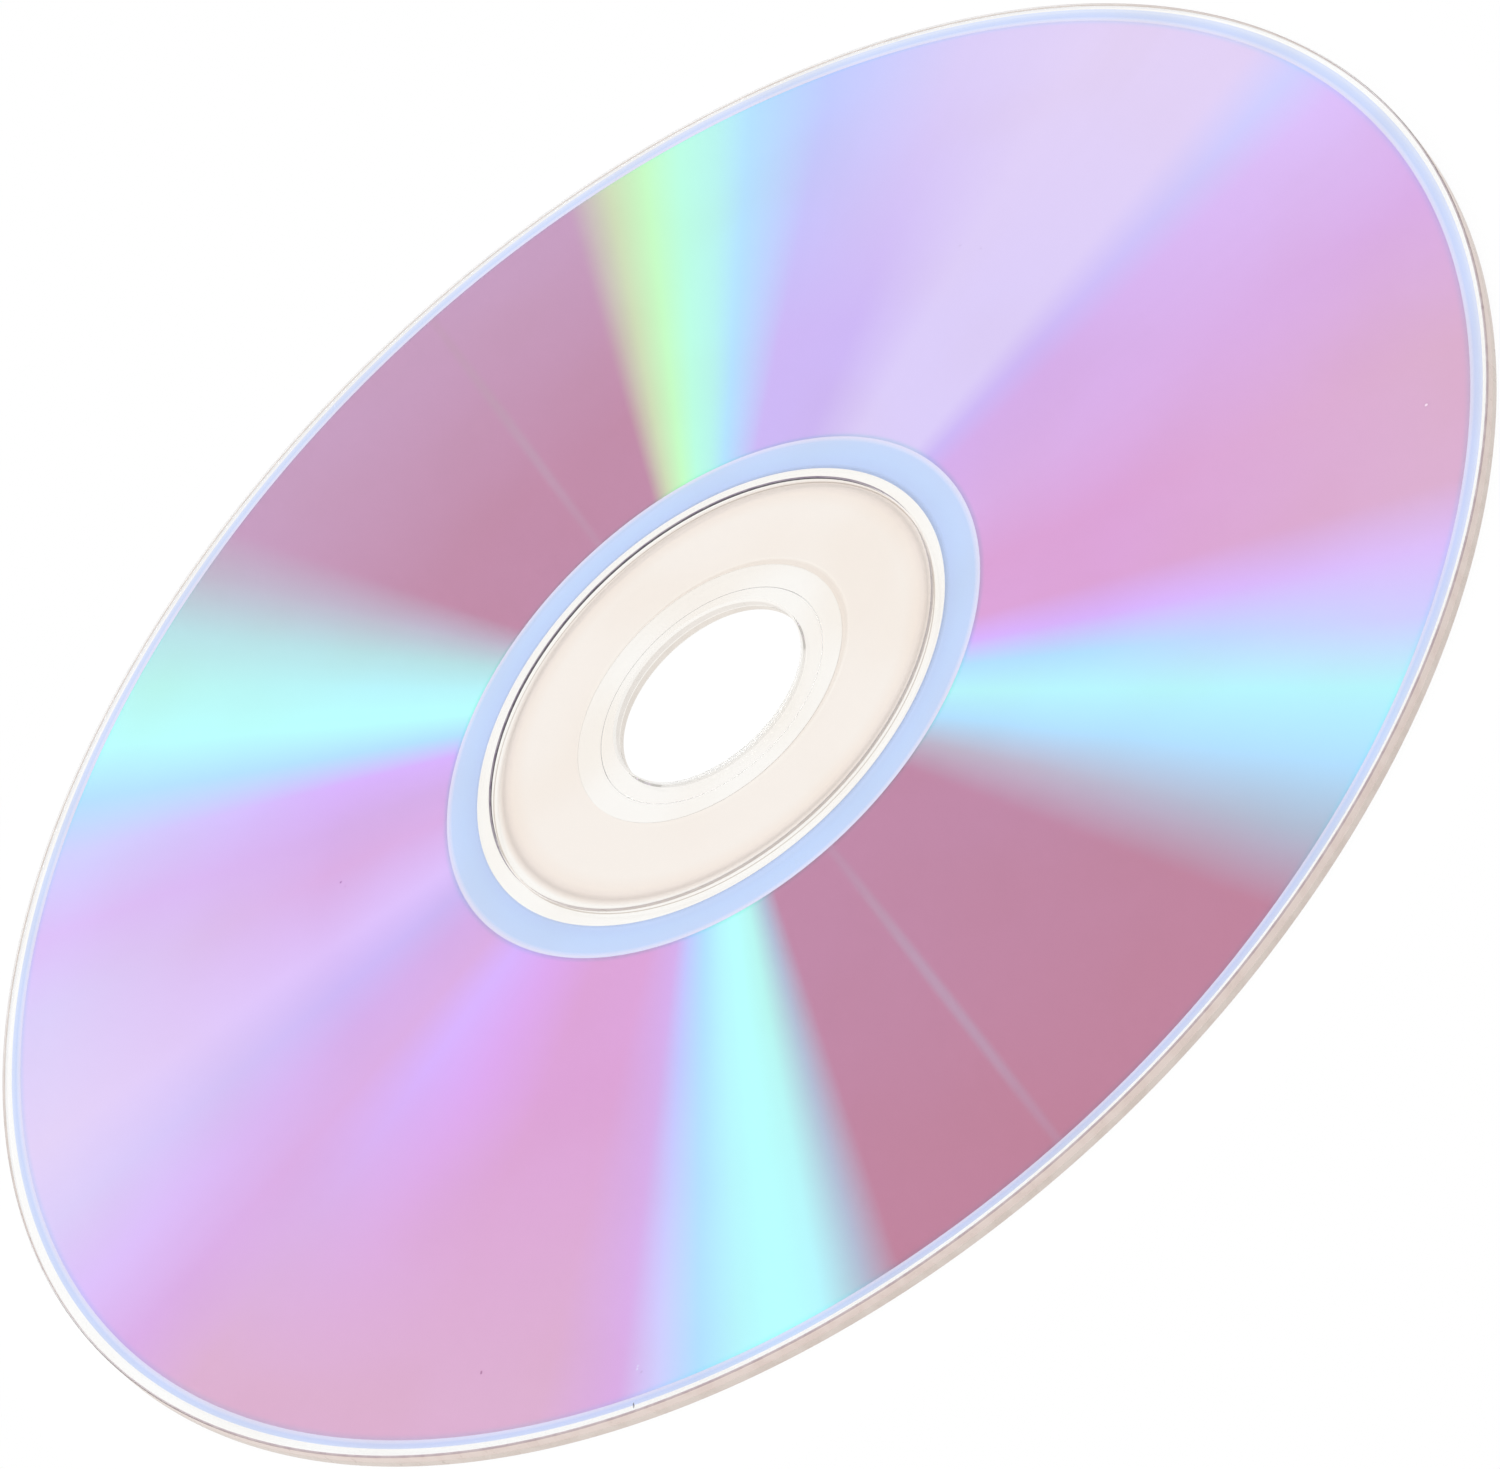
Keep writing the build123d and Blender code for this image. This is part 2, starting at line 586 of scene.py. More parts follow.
@dataclass(frozen=True)
class RecordingDye:
    """Spin-coated recording dye over a fine spiral groove: satin rose, with the radial colours that the
    groove splits from the light painted on as fixed glints.

    Each bead is a strip along an edge of the dye: its width, and the tint that it multiplies the colour by.
    """

    name: str = "spin_coated_recording_dye"
    inner_radius: float = 21.65
    outer_radius: float = 58.5
    tone_radii: tuple[float, float] = (32.0, 56.0)
    sheen_share: float = 0.25
    roughness: tuple[float, float] = (0.07, 0.12)
    inner_bead: tuple[float, str] = (0.42, "dafbf2")
    outer_bead: tuple[float, str] = (0.45, "e8ffff")
    ray_count: float = 260.0
    ray_depth: float = 0.012
    specks_and_glint_streaks: tuple[Spot, ...] = (
        Spot(45.60, -31.35, 0.62, 0.62, 0, "c293b6", 0.45),
        Spot(45.60, -31.35, 0.30, 0.30, 0, "f6dcf2"),
        Spot(-27.37, 13.75, 0.28, 0.24, 30, "a264b4"),
        Spot(-27.32, 13.01, 0.22, 0.20, 0, "a872ba", 0.5),
        Spot(-40.01, -35.99, 0.40, 0.24, 60, "a86c9a"),
        Spot(-32.12, -46.40, 0.22, 0.18, 0, "dfe6ff", 0.7),
        Spot(-31.96, -46.22, 0.22, 0.18, 0, "dfe6ff", 0.6),
        Spot(-32.02, -46.88, 0.26, 0.20, 0, "9a8cba", 0.4),
        Spot(34.01, 17.60, 0.26, 0.22, 0, "b49cd0", 0.5),
        Spot(34.80, 15.61, 0.26, 0.22, 0, "b49cd0", 0.5),
        # The last two are long radial streaks through the centre: painted streaks of the diffraction glints.
        Spot(2.93, 39.89, 60.0, 1.2, 85.8, "b387a5", 0.9, core=0.1),
        Spot(-2.37, -39.93, 60.0, 1.2, 266.6, "b08ba8", 0.9, core=0.1),
    )

    def glint_wheels(self, tree: bpy.types.NodeTree, turn: bpy.types.NodeSocket) -> list[bpy.types.NodeSocket]:
        """Painted glint colour round the disc at the hub and at the rim, from one ramp for each quarter turn.

        A ramp is stored as 256 colours, so a quarter turn each keeps the streaks' edges crisp.

        Args:
            tree: The material's node tree.
            turn: Azimuth as a share of a full turn.

        Returns:
            The hub's colour socket and the rim's.
        """
        colours: list[bpy.types.NodeSocket | None] = [None, None]
        for quarter in range(QUARTERS):
            start, end = quarter / QUARTERS, (quarter + 1) / QUARTERS
            first, last = start * FULL_TURN, end * FULL_TURN
            within = add_node(tree, "ShaderNodeMapRange", {"Value": turn, "From Min": start, "From Max": end})
            past = add_node(tree, "ShaderNodeMath", {0: turn, 1: start}, operation="GREATER_THAN")
            for number, edge in enumerate(("hub", "rim")):
                stops = [
                    ((azimuth - first) / (last - first), colour)
                    for glint_field in GLINT_FIELDS
                    for azimuth, colour in glint_field.stops(edge)
                    if first <= azimuth <= last
                ]
                ramp = colour_ramp(tree, within.outputs["Result"], stops)
                before = colours[number]
                colours[number] = ramp if before is None else mix_colours(tree, past.outputs[0], before, ramp)
        return colours

    def build(self) -> bpy.types.Material:
        """Wheel of painted diffraction glints over the dye's rose, with faint radial rays, faintly tinted
        beads at both edges, specks, and two painted glint streaks.
        """
        material, tree, output = new_material(self.name)
        radius, turn = radius_and_turn(tree)
        hub, rim = self.glint_wheels(tree, turn)
        start, end = self.tone_radii
        outward = add_node(
            tree,
            "ShaderNodeMapRange",
            {"Value": radius, "From Min": start * MM, "From Max": end * MM},
        )
        colour = mix_colours(tree, outward.outputs["Result"], hub, rim)
        rays = add_node(
            tree,
            "ShaderNodeTexNoise",
            {"W": turn, "Scale": self.ray_count, "Detail": 3.0},
            noise_dimensions="1D",
        )
        shade = add_node(
            tree,
            "ShaderNodeMapRange",
            {"Value": rays.outputs[0], "To Min": 1 - self.ray_depth, "To Max": 1 + self.ray_depth},
        )
        grey = add_node(tree, "ShaderNodeCombineXYZ", {axis: shade.outputs["Result"] for axis in range(3)})
        colour = mix_colours(tree, 1.0, colour, grey.outputs[0], blend="MULTIPLY")
        width, tone = self.inner_bead
        hub_bead = share_between(
            tree, radius, self.inner_radius * MM, (self.inner_radius + width) * MM, 1.0, 0.0
        )
        colour = mix_colours(tree, hub_bead, colour, linear(tone), blend="MULTIPLY")
        width, tone = self.outer_bead
        rim_bead = share_between(
            tree, radius, (self.outer_radius - width) * MM, self.outer_radius * MM, 0.0, 1.0
        )
        colour = mix_colours(tree, rim_bead, colour, linear(tone), blend="MULTIPLY")
        for speck in self.specks_and_glint_streaks:
            colour = mix_colours(tree, speck.cover(tree), colour, linear(speck.colour))
        rough = share_between(tree, rays.outputs[0], *NOISE_BAND, *self.roughness)
        dye = add_node(
            tree,
            "ShaderNodeBsdfPrincipled",
            {"Base Color": colour, "Metallic": self.sheen_share, "Roughness": rough},
        )
        tree.links.new(dye.outputs[0], output.inputs["Surface"])
        return material


@dataclass(frozen=True)
class SputteredReflector:
    """Sputtered silver film seen through the plastic: a pale blue mirror, paler next to the dye's edges."""

    name: str = "sputtered_silver_bare"
    inner_radius: float = 19.0
    outer_radius: float = 59.35
    stops: tuple[tuple[float, str], ...] = (
        (19.0, "aebfe2"),
        (19.25, "c1d5fc"),
        (20.2, "c5dbff"),
        (21.25, "c8dcff"),
        (21.45, "e4e6ff"),
        (21.65, "e4e2fc"),
        (58.5, "e4e0fa"),
        (58.68, "e2e6ff"),
        (58.85, "cddbff"),
        (59.15, "d3e0ff"),
        (59.35, "dfe8ff"),
    )
    # The same chip in the rim, drawn as painted shade in the metal.
    nick_shade: Spot = Spot(-33.69, -48.69, 0.56, 0.14, 61.3, "767682")
    cloud_size: float = 6.0
    roughness: tuple[float, float] = (0.06, 0.1)

    def build(self) -> bpy.types.Material:
        """Blue-white mirror metal coloured by its distance from the axis."""
        material, tree, output = new_material(self.name)
        radius, _ = radius_and_turn(tree)
        across = add_node(
            tree,
            "ShaderNodeMapRange",
            {
                "Value": radius,
                "From Min": self.inner_radius * MM,
                "From Max": self.outer_radius * MM,
            },
        )
        span = self.outer_radius - self.inner_radius
        colour = colour_ramp(
            tree,
            across.outputs["Result"],
            [((r - self.inner_radius) / span, tone) for r, tone in self.stops],
        )
        colour = mix_colours(tree, self.nick_shade.cover(tree), colour, linear(self.nick_shade.colour))
        place = add_node(tree, "ShaderNodeTexCoord")
        cloud = add_node(
            tree,
            "ShaderNodeTexNoise",
            {"Vector": place.outputs["Object"], "Scale": 1 / (self.cloud_size * MM), "Detail": 1.0},
        )
        rough = share_between(tree, cloud.outputs[0], *NOISE_BAND, *self.roughness)
        metal = add_node(
            tree,
            "ShaderNodeBsdfPrincipled",
            {"Base Color": colour, "Metallic": 1.0, "Roughness": rough},
        )
        tree.links.new(metal.outputs[0], output.inputs["Surface"])
        return material


@dataclass(frozen=True)
class SilverBack:
    """The film's other face, seen from below through the label side: a plain neutral mirror."""

    name: str = "sputtered_silver_back"
    colour: str = "e3e3e6"
    cloud_size: float = 16.6667
    roughness: tuple[float, float] = (0.08, 0.16)

    def build(self) -> bpy.types.Material:
        """Neutral mirror metal with the faint cloudiness of a spun adhesive coat."""
        material, tree, output = new_material(self.name)
        place = add_node(tree, "ShaderNodeTexCoord")
        cloud = add_node(
            tree,
            "ShaderNodeTexNoise",
            {"Vector": place.outputs["Object"], "Scale": 1 / (self.cloud_size * MM), "Detail": 2.0},
        )
        smooth, dull = self.roughness
        rough = add_node(
            tree,
            "ShaderNodeMapRange",
            {"Value": cloud.outputs[0], "To Min": smooth, "To Max": dull},
        )
        metal = add_node(
            tree,
            "ShaderNodeBsdfPrincipled",
            {"Base Color": linear(self.colour), "Metallic": 1.0, "Roughness": rough.outputs["Result"]},
        )
        tree.links.new(metal.outputs[0], output.inputs["Surface"])
        return material


@dataclass(frozen=True)
class PaperSweep:
    """Matt white studio paper under the disc, which takes the disc's shadow near its rim."""

    name: str = "matt_white_paper"
    colour: str = "fafafa"
    roughness: float = 0.95
    lit_share: float = 0.25
    lit_radius: float = 62.0
    plain_radius: float = 68.0

    def build(self) -> bpy.types.Material:
        """White paper that keeps part of its shadow and shows pure white to the eye."""
        material, tree, output = new_material(self.name)
        path = add_node(tree, "ShaderNodeLightPath")
        radius, _ = radius_and_turn(tree)
        glow = share_between(
            tree, radius, self.lit_radius * MM, self.plain_radius * MM, 1 - self.lit_share, 1.0
        )
        direct = add_node(
            tree,
            "ShaderNodeMath",
            {0: path.outputs["Is Camera Ray"], 1: glow},
            operation="MULTIPLY",
        )
        mirrored = add_node(
            tree,
            "ShaderNodeMath",
            {0: path.outputs["Is Glossy Ray"], 1: path.outputs["Is Transmission Ray"]},
            operation="ADD",
        )
        share = add_node(
            tree,
            "ShaderNodeMath",
            {0: direct.outputs[0], 1: mirrored.outputs[0]},
            operation="ADD",
            use_clamp=True,
        )
        paper = add_node(
            tree,
            "ShaderNodeBsdfPrincipled",
            {"Base Color": linear(self.colour), "Roughness": self.roughness, "Specular IOR Level": 0.0},
        )
        white = add_node(tree, "ShaderNodeEmission", {"Color": linear("ffffff"), "Strength": 1.0})
        either = add_node(
            tree,
            "ShaderNodeMixShader",
            {0: share.outputs[0], 1: paper.outputs[0], 2: white.outputs[0]},
        )
        tree.links.new(either.outputs[0], output.inputs["Surface"])
        return material


@dataclass
class Outline:
    """Closed outline of (radius, height) points in millimetres, walked with the solid on its left."""

    points: list[tuple[float, float]] = field(default_factory=list)
    slots: list[int] = field(default_factory=list)
    aside: list[tuple[float, float]] = field(default_factory=list)

    def to(
        self,
        radius: float,
        height: float,
        slot: int = 0,
        aside: tuple[float, float] = (0.0, 0.0),
    ) -> "Outline":
        """Adds a corner, and the finish slot of the stretch that leaves it.

        Args:
            radius: Distance from the corner's own centre.
            height: Height above the rest plane.
            slot: Finish slot of the next stretch.
            aside: How far the corner's circle lies off the disc's axis, in X and Y.

        Returns:
            The outline itself, for the next corner.
        """
        self.points.append((radius, height))
        self.slots.append(slot)
        self.aside.append(aside)
        return self

    def bend(
        self,
        centre: tuple[float, float],
        size: float,
        start: float,
        end: float,
        slots: tuple[int, ...],
    ) -> "Outline":
        """Adds a round corner: centre + size times (cosine, sine) of angles from start to end, in degrees.

        Args:
            centre: Centre of the arc.
            size: Radius of the arc.
            start: First angle.
            end: Last angle.
            slots: Finish slot of each stretch of the arc, and of the stretch that leaves it.

        Returns:
            The outline itself, for the next corner.
        """
        angles = np.radians(np.linspace(start, end, len(slots)))
        for angle, slot in zip(angles, slots):
            self.to(centre[0] + size * math.cos(angle), centre[1] + size * math.sin(angle), slot)
        return self


def carried_round(name: str, outline: Outline, turns: int) -> bpy.types.Object:
    """Carries a closed outline round the Z axis.

    Each point (r, h) of the outline becomes a ring x = r cos a, y = r sin a, z = h, for turns equal
    steps of a, and each stretch of the outline becomes a band of quads that face outwards. A point
    that is set aside has its ring moved by that much in X and Y.

    Args:
        name: The piece's name.
        outline: The section, in millimetres.
        turns: Steps round the axis.

    Returns:
        The piece, at the origin, in metres.
    """
    section = np.array(outline.points) * MM
    count = len(section)
    angle = np.arange(turns) * math.tau / turns
    ring = np.stack([np.cos(angle), np.sin(angle)], axis=1)
    places = np.empty((turns, count, 3))
    places[:, :, :2] = section[None, :, :1] * ring[:, None, :] + np.array(outline.aside) * MM
    places[:, :, 2] = section[None, :, 1]
    step, point = np.meshgrid(np.arange(turns), np.arange(count), indexing="ij")
    after, beyond = (step + 1) % turns, (point + 1) % count
    corners = np.stack(
        [step * count + point, after * count + point, after * count + beyond, step * count + beyond],
        axis=-1,
    )
    slots = np.broadcast_to(np.array(outline.slots), (turns, count))
    return quad_piece(name, places.reshape(-1, 3), corners.reshape(-1, 4), slots.ravel())


def quad_piece(
    name: str,
    places: np.ndarray,
    corners: np.ndarray,
    slots: np.ndarray,
) -> bpy.types.Object:
    """Puts arrays of places and quads into a new smooth-shaded piece.

    Args:
        name: The piece's name.
        places: Vertex places in metres, one row each.
        corners: Vertex numbers of each quad, one row each.
        slots: Finish slot of each quad.

    Returns:
        The piece, linked to the scene.
    """
    mesh = bpy.data.meshes.new(name)
    mesh.vertices.add(len(places))
    mesh.vertices.foreach_set("co", places.astype(np.float32).ravel())
    mesh.loops.add(corners.size)
    mesh.loops.foreach_set("vertex_index", corners.astype(np.int32).ravel())
    mesh.polygons.add(len(corners))
    mesh.polygons.foreach_set("loop_start", (np.arange(len(corners)) * 4).astype(np.int32))
    mesh.polygons.foreach_set("material_index", slots.astype(np.int32))
    mesh.polygons.foreach_set("use_smooth", np.ones(len(corners), dtype=bool))
    mesh.update(calc_edges=True)
    mesh.validate()
    mesh.set_sharp_from_angle(angle=math.radians(SHARP_FROM))
    piece = bpy.data.objects.new(name, mesh)
    bpy.context.scene.collection.objects.link(piece)
    return piece


def pass_lamp_light(piece: bpy.types.Object) -> None:
    """Lets lamp light and scattered light through a clear piece, onto what lies inside it."""
    piece.visible_shadow = False
    piece.visible_diffuse = False


def highest(node: str) -> tuple[float, float]:
    """Outer radius and top height of a frame node, in millimetres."""
    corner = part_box(node)[1]
    return corner.x / MM, corner.z / MM


def lowest(node: str) -> float:
    """Bottom height of a frame node, in millimetres."""
    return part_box(node)[0].z / MM


@dataclass
class DiscSizes:
    """Sizes that several pieces share, read from the frame where its boxes and record give them."""

    rim_radius: float = field(default_factory=lambda: highest("read_side_half")[0])
    hole_radius: float = field(
        default_factory=lambda: frame["record"]["mounts"][0]["dims"]["r_mm"]
    )
    hole_chamfer: float = 0.15
    rim_round: float = 0.16
    bond_inner_radius: float = 10.75
    bond_outer_radius: float = field(default_factory=lambda: highest("bonding_adhesive")[0])
    metal_inner_radius: float = 19.0
    metal_outer_radius: float = field(default_factory=lambda: highest("metal_reflector")[0])
    metal_inner_aside: tuple[float, float] = (-0.11, 0.03)
    metal_outer_aside: tuple[float, float] = (0.16, 0.09)
    dye_inner_radius: float = 21.65
    dye_outer_radius: float = field(default_factory=lambda: highest("dye_layer")[0])
    dye_outer_aside: tuple[float, float] = (0.0, -0.06)
    label_half_top: float = field(default_factory=lambda: highest("label_side_half")[1])
    metal_bottom: float = field(default_factory=lambda: lowest("metal_reflector"))
    dye_bottom: float = field(default_factory=lambda: lowest("dye_layer"))
    read_half_bottom: float = field(default_factory=lambda: lowest("read_side_half"))
    disc_top: float = field(default_factory=lambda: highest("read_side_half")[1])
    turns: int = 384


@dataclass(frozen=True)
class RingGroove:
    """Fine groove moulded into an outer face: a V, or steep walls down to a flat floor."""

    radius: float
    width: float
    depth: float
    floor: float = 0.0
    aside: tuple[float, float] = (0.0, 0.0)


class ReadFace(IntEnum):
    """Faces of the read side's half, in the order of its finish slots."""

    PLAIN = 0
    BONDED = 1
    WETTED = 2
    RIM_WALL = 3
    RIM_SHOULDER = 4
    RING_OUTER_WALL = 5
    RING_INNER_WALL = 6
    HOLE_WALL = 7
    HOLE_CHAMFER = 8
    RIM_CROWN = 9
    RING_FLOOR = 10


@dataclass
class ReadSideHalf:
    """Upper clear half with its ring groove, chamfered hole and rounded rim."""

    sizes: DiscSizes
    ring: RingGroove = RingGroove(17.95, 0.16, 0.3, floor=0.12, aside=(0.05, -0.06))

    def build(self) -> bpy.types.Object:
        """Turned clear half, walked from the hole out along its bonded face and back over its outer face."""
        s, ring, face = self.sizes, self.ring, ReadFace
        outline = Outline()
        outline.to(s.hole_radius, s.read_half_bottom)
        outline.to(s.bond_inner_radius, s.read_half_bottom, face.BONDED)
        outline.to(s.metal_inner_radius, s.read_half_bottom, face.WETTED, s.metal_inner_aside)
        outline.to(s.metal_outer_radius, s.read_half_bottom, face.BONDED, s.metal_outer_aside)
        outline.to(s.bond_outer_radius, s.read_half_bottom, face.RIM_WALL)
        outline.to(s.rim_radius, s.read_half_bottom, face.RIM_WALL)
        centre = (s.rim_radius - s.rim_round, s.disc_top - s.rim_round)
        round_faces = (face.RIM_WALL,) * 2 + (face.RIM_SHOULDER,) * 2 + (face.RIM_CROWN,) * 2
        outline.bend(centre, s.rim_round, 0, 90, (*round_faces, face.PLAIN))
        floor_height = s.disc_top - ring.depth
        outline.to(ring.radius + ring.width / 2, s.disc_top, face.RING_OUTER_WALL, ring.aside)
        outline.to(ring.radius + ring.floor / 2, floor_height, face.RING_FLOOR, ring.aside)
        outline.to(ring.radius - ring.floor / 2, floor_height, face.RING_INNER_WALL, ring.aside)
        outline.to(ring.radius - ring.width / 2, s.disc_top, aside=ring.aside)
        outline.to(s.hole_radius + s.hole_chamfer, s.disc_top, face.HOLE_CHAMFER)
        outline.to(s.hole_radius, s.disc_top - s.hole_chamfer, face.HOLE_WALL)
        return carried_round("clear_read_side_half", outline, s.turns)

    def dress(self, piece: bpy.types.Object) -> None:
        """Gives the half its finishes, in ReadFace's order, and its place in the frame."""
        for finish in (
            MouldedPolycarbonate("moulded_polycarbonate_read_side"),
            BondedFace("bonded_face_read_side"),
            WettedFace("film_wetted_read_side"),
            # The rim's wall, shoulder and crown: their beige and mauve satin tones are painted shade.
            MouldedWall("moulded_rim_wall_read_side", "dac8c0", haze_and_shade="ffffff", haze_share=0.9),
            MouldedWall("moulded_rim_shoulder", "b7a3a6", 0.9, haze_and_shade="fdfdff", haze_share=0.9, grazing=0.0),
            # The ring groove's walls carry painted shade: a dark violet outer skin and a near-black inner
            # haze give the dark line along the groove.
            MouldedWall("moulded_ring_groove_outer_wall", "83768a", haze_and_shade="e9e0d9", haze_share=1.0),
            MouldedWall("moulded_ring_groove_inner_wall", "e6dcd4", haze_and_shade="231b26", haze_share=1.0),
            MouldedWall("moulded_hole_wall_read_side", "e8e2db", haze_and_shade="fdfcf9", haze_share=0.7),
            MouldedWall("moulded_hole_chamfer_read_side", "f1eee9", haze_and_shade="f6f4f0", haze_share=0.6),
            # The rim's crown: its mauve satin tone is painted shade.
            MouldedWall("moulded_rim_crown", "b3a1a8", 0.9, haze_and_shade="fdfdff", haze_share=0.9, grazing=0.0),
            MouldedWall("moulded_ring_groove_floor", "f6f0ea", 0.6, haze_and_shade="f6f0ea", haze_share=0.4),
        ):
            piece.data.materials.append(finish.build())
        pass_lamp_light(piece)
        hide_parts("read_side_half")
        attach(piece, "root")


class LabelFace(IntEnum):
    """Faces of the label side's half, in the order of its finish slots."""

    PLAIN = 0
    BONDED = 1
    WETTED = 2
    RIM_WALL = 3
    HUB_GROOVE = 4
    HOLE_WALL = 5
    HOLE_CHAMFER = 6
    RING_GROOVE = 7
    RIM_BAND = 8


@dataclass
class LabelSideHalf:
    """Lower clear half with its two fine grooves."""

    sizes: DiscSizes
    hub_groove: RingGroove = RingGroove(9.0, 0.08, 0.015)
    ring: RingGroove = RingGroove(17.9, 0.1, 0.02)
    rim_band: float = 1.2

    def build(self) -> bpy.types.Object:
        """Turned clear half, walked from the hole out along its outer face and back over its bonded face."""
        s, face = self.sizes, LabelFace
        outline = Outline()
        outline.to(s.hole_radius + s.hole_chamfer, 0.0)
        for groove, walls in ((self.hub_groove, face.HUB_GROOVE), (self.ring, face.RING_GROOVE)):
            outline.to(groove.radius - groove.width / 2, 0.0, walls)
            outline.to(groove.radius, groove.depth, walls)
            outline.to(groove.radius + groove.width / 2, 0.0)
        outline.to(s.metal_outer_radius - self.rim_band, 0.0, face.RIM_BAND)
        centre = (s.rim_radius - s.rim_round, s.rim_round)
        outline.bend(centre, s.rim_round, -90, 0, (face.RIM_WALL,) * 7)
        outline.to(s.rim_radius, s.label_half_top, face.RIM_WALL)
        outline.to(s.bond_outer_radius, s.label_half_top, face.BONDED)
        outline.to(s.metal_outer_radius, s.label_half_top, face.WETTED, s.metal_outer_aside)
        outline.to(s.metal_inner_radius, s.label_half_top, face.BONDED, s.metal_inner_aside)
        outline.to(s.bond_inner_radius, s.label_half_top)
        outline.to(s.hole_radius, s.label_half_top, face.HOLE_WALL)
        outline.to(s.hole_radius, s.hole_chamfer, face.HOLE_CHAMFER)
        return carried_round("clear_label_side_half", outline, s.turns)

    def dress(self, piece: bpy.types.Object) -> None:
        """Gives the half its finishes, in LabelFace's order, and its place in the frame."""
        for finish in (
            MouldedPolycarbonate("moulded_polycarbonate_label_side", "fbf8f3", "f9f4ee"),
            BondedFace("bonded_face_label_side"),
            WettedFace("film_wetted_label_side"),
            # Painted shade in the rim wall's beige satin tone.
            MouldedWall("moulded_rim_wall_label_side", "d0c2b9", haze_and_shade="fbfbfd", haze_share=0.9),
            MouldedWall("moulded_hub_groove", "fbf7f2", 0.5, haze_and_shade="f8f4ee", haze_share=0.3),
            MouldedWall("moulded_hole_wall_label_side", "e2dad1", haze_and_shade="fefefd", haze_share=0.95),
            MouldedWall("moulded_hole_chamfer_label_side", "e9e3dc", haze_and_shade="f4f1ec", haze_share=0.6),
            # Darker beige walls: painted shade along the groove.
            MouldedWall("moulded_label_ring_groove", "e4dad0", haze_and_shade="ded4ca", haze_share=0.9),
            MouldedPolycarbonate("moulded_polycarbonate_label_side_rim", "fefefe", "fdfdfd"),
        ):
            piece.data.materials.append(finish.build())
        pass_lamp_light(piece)
        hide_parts("label_side_half")
        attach(piece, "root")


class AdhesiveFace(IntEnum):
    """Faces of the adhesive, in the order of its finish slots."""

    CLEAR = 0
    WETTED = 1
    OUTER_EDGE = 2
    INNER_EDGE = 3


class MetalFace(IntEnum):
    """Faces of the metal reflector, in the order of its finish slots."""

    UP = 0
    DOWN = 1


@dataclass
class Films:
    """Adhesive, metal reflector and dye between the halves."""

    sizes: DiscSizes

    def adhesive(self) -> bpy.types.Object:
        """Adhesive ring with a recess in its upper face for the metal."""
        s, face = self.sizes, AdhesiveFace
        top = s.read_half_bottom - HAIR
        outline = Outline()
        inner, outer = s.metal_inner_aside, s.metal_outer_aside
        outline.to(s.bond_inner_radius + HAIR, s.label_half_top + HAIR)
        outline.to(s.bond_outer_radius - HAIR, s.label_half_top + HAIR, face.OUTER_EDGE)
        outline.to(s.bond_outer_radius - HAIR, top)
        outline.to(s.metal_outer_radius + HAIR, top, face.WETTED, outer)
        outline.to(s.metal_outer_radius + HAIR, s.metal_bottom - HAIR, face.WETTED, outer)
        outline.to(s.metal_inner_radius - HAIR, s.metal_bottom - HAIR, face.WETTED, inner)
        outline.to(s.metal_inner_radius - HAIR, top, aside=inner)
        outline.to(s.bond_inner_radius + HAIR, top, face.INNER_EDGE)
        piece = carried_round("cured_adhesive", outline, s.turns)
        for finish in (
            CuredAdhesive(),
            WettedFace("metal_wetted_adhesive"),
            # The adhesive's outer edge, in a dark beige.
            MouldedWall("dark_beige_adhesive_edge", "b7a699"),
            MouldedWall("cured_adhesive_bead", "f3ebe1", haze_and_shade="f3ebe1", haze_share=1.0),
        ):
            piece.data.materials.append(finish.build())
        pass_lamp_light(piece)
        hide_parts("bonding_adhesive")
        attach(piece, "root")
        return piece

    def reflector(self) -> bpy.types.Object:
        """Metal ring with a recess in its upper face for the dye."""
        s = self.sizes
        top = s.read_half_bottom - HAIR
        outline = Outline()
        inner, outer = s.metal_inner_aside, s.metal_outer_aside
        outline.to(s.metal_inner_radius, s.metal_bottom, MetalFace.DOWN, inner)
        outline.to(s.metal_outer_radius, s.metal_bottom, aside=outer)
        outline.to(s.metal_outer_radius, top, aside=outer)
        outline.to(s.dye_outer_radius + HAIR, top, aside=s.dye_outer_aside)
        outline.to(s.dye_outer_radius + HAIR, s.dye_bottom - HAIR, aside=s.dye_outer_aside)
        outline.to(s.dye_inner_radius - HAIR, s.dye_bottom - HAIR)
        outline.to(s.dye_inner_radius - HAIR, top)
        outline.to(s.metal_inner_radius, top, aside=inner)
        piece = carried_round("silver_reflector", outline, s.turns)
        piece.data.materials.append(SputteredReflector().build())
        piece.data.materials.append(SilverBack().build())
        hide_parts("metal_reflector")
        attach(piece, "root")
        return piece

    def dye(self) -> bpy.types.Object:
        """Dye ring on the metal."""
        s = self.sizes
        top = s.read_half_bottom - HAIR
        outline = Outline()
        outline.to(s.dye_inner_radius, s.dye_bottom)
        outline.to(s.dye_outer_radius, s.dye_bottom, aside=s.dye_outer_aside)
        outline.to(s.dye_outer_radius, top, aside=s.dye_outer_aside)
        outline.to(s.dye_inner_radius, top)
        piece = carried_round("recording_dye", outline, s.turns)
        piece.data.materials.append(RecordingDye().build())
        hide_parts("dye_layer")
        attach(piece, "root")
        return piece


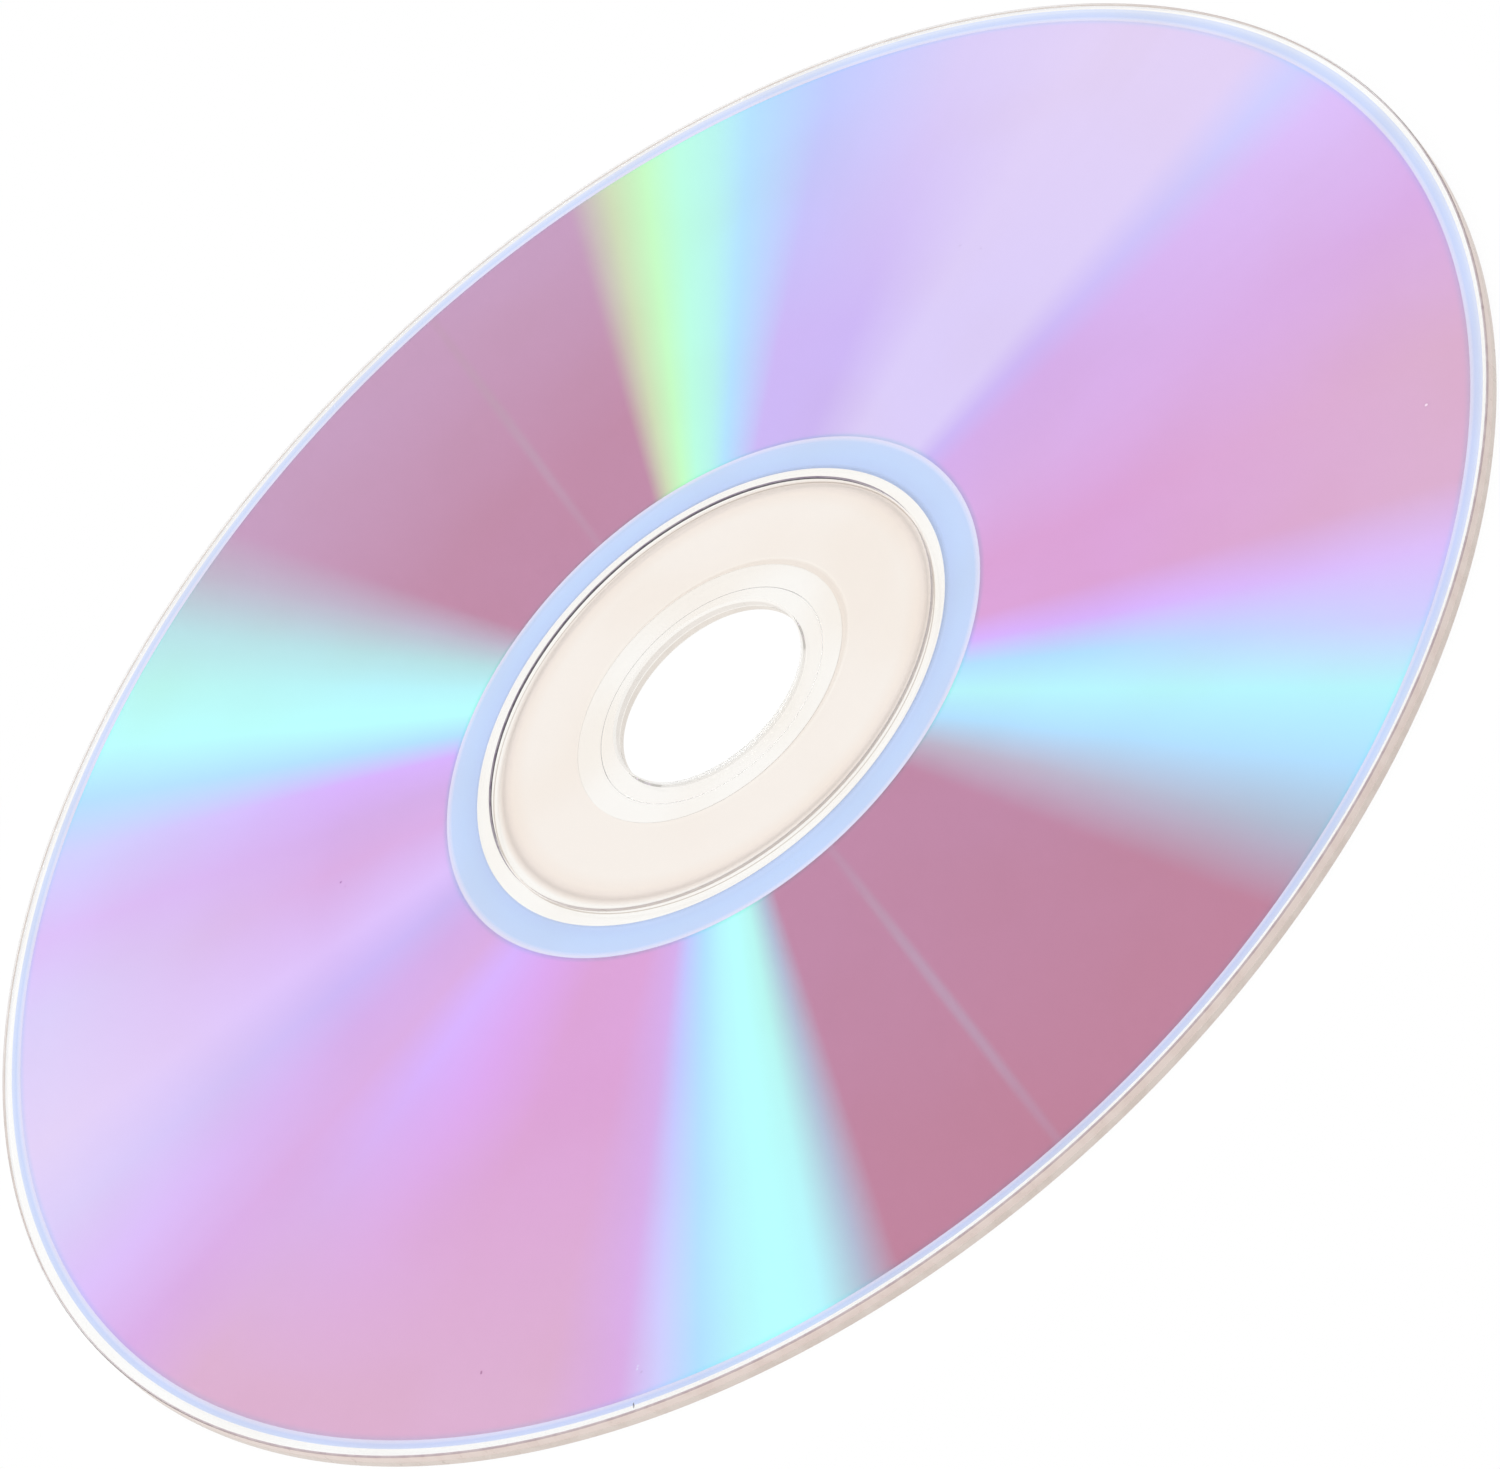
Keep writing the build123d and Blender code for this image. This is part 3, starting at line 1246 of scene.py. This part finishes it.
@dataclass
class Studio:
    """White paper, even white surroundings and one large softbox."""

    floor_half_width: float = 1500.0
    floor_drop: float = 0.03
    surround_level: float = 0.835
    softbox_width: float = 700.0
    softbox_place: tuple[float, float, float] = (-260.0, -200.0, 800.0)
    softbox_watts: float = 2.4

    def build(self) -> None:
        """Makes the floor, the world and the softbox."""
        half = self.floor_half_width * MM
        drop = -self.floor_drop * MM
        corners = ((-half, -half), (half, -half), (half, half), (-half, half))
        places = np.array([(x, y, drop) for x, y in corners])
        floor = quad_piece("paper_floor", places, np.array([[0, 1, 2, 3]]), np.zeros(1))
        floor.data.materials.append(PaperSweep().build())
        self.surround()
        self.softbox()

    def surround(self) -> None:
        """World that lights at a plain level and shows white to camera, mirror and glass rays."""
        world = bpy.data.worlds.new("white_surround")
        bpy.context.scene.world = world
        world.use_nodes = True
        tree = world.node_tree
        tree.nodes.clear()
        path = add_node(tree, "ShaderNodeLightPath")
        seen = add_node(
            tree,
            "ShaderNodeMath",
            {0: path.outputs["Is Camera Ray"], 1: path.outputs["Is Glossy Ray"]},
            operation="ADD",
        )
        any_sight = add_node(
            tree,
            "ShaderNodeMath",
            {0: seen.outputs[0], 1: path.outputs["Is Transmission Ray"]},
            operation="ADD",
            use_clamp=True,
        )
        level = add_node(
            tree,
            "ShaderNodeMapRange",
            {"Value": any_sight.outputs[0], "To Min": self.surround_level, "To Max": 1.0},
        )
        sky = add_node(
            tree,
            "ShaderNodeBackground",
            {"Color": linear("ffffff"), "Strength": level.outputs["Result"]},
        )
        output = add_node(tree, "ShaderNodeOutputWorld")
        tree.links.new(sky.outputs[0], output.inputs["Surface"])

    def softbox(self) -> None:
        """Large square lamp high above the disc, aimed at it, with no mirror image of its own."""
        lamp = bpy.data.lights.new("softbox", "AREA")
        lamp.shape = "SQUARE"
        lamp.size = self.softbox_width * MM
        lamp.energy = self.softbox_watts
        holder = bpy.data.objects.new("softbox", lamp)
        place = Vector(self.softbox_place) * MM
        holder.location = place
        holder.rotation_euler = (-place).to_track_quat("-Z", "Y").to_euler()
        holder.visible_glossy = False
        holder.visible_transmission = False
        bpy.context.scene.collection.objects.link(holder)


@dataclass
class PhotoCamera:
    """Camera at the photograph's viewing angle, fitted to the disc's outline and rings."""

    frame_width_px: float = 1500.0
    focal_px: float = 6829.9
    elevation: float = 36.343
    roll: float = -43.746
    distance: float = 459.585
    aside: float = -2.930
    above: float = 3.002
    aim_height: float = 1.2
    sensor_width: float = 36.0
    clip_start: float = 10.0

    def build(self) -> None:
        """Places the camera.

        Back points from the disc to the camera, right is level and square to it, and both right and
        up are then turned by the roll. The camera stands at distance along back from the disc's
        centre, less the aside and above offsets along right and up.
        """
        tilt, spin = math.radians(self.elevation), math.radians(self.roll)
        back = Vector((0.0, -math.cos(tilt), math.sin(tilt)))
        level = Vector((0.0, 0.0, 1.0)).cross(back).normalized()
        upright = back.cross(level)
        right = math.cos(spin) * level + math.sin(spin) * upright
        up = -math.sin(spin) * level + math.cos(spin) * upright
        aim = Vector((0.0, 0.0, self.aim_height))
        place = (aim + self.distance * back - self.aside * right - self.above * up) * MM
        lens = bpy.data.cameras.new("photo_camera")
        lens.sensor_width = self.sensor_width
        lens.lens = self.focal_px * self.sensor_width / self.frame_width_px
        lens.clip_start = self.clip_start * MM
        holder = bpy.data.objects.new("photo_camera", lens)
        turn = Matrix((right, up, back)).transposed()
        holder.matrix_world = Matrix.Translation(place) @ turn.to_4x4()
        bpy.context.scene.collection.objects.link(holder)
        bpy.context.scene.camera = holder


def main() -> None:
    """Builds the camera, the studio and the disc's pieces in order."""
    logging.basicConfig(level=logging.INFO, format="%(name)s: %(message)s")
    bpy.context.scene.view_settings.view_transform = "Standard"
    PhotoCamera().build()
    Studio().build()
    sizes = DiscSizes()
    for half in (LabelSideHalf(sizes), ReadSideHalf(sizes)):
        piece = half.build()
        half.dress(piece)
        LOG.info("%s: %d faces", piece.name, len(piece.data.polygons))
    films = Films(sizes)
    for make in (films.adhesive, films.reflector, films.dye):
        piece = make()
        LOG.info("%s: %d faces", piece.name, len(piece.data.polygons))


if __name__ == "__main__":
    main()
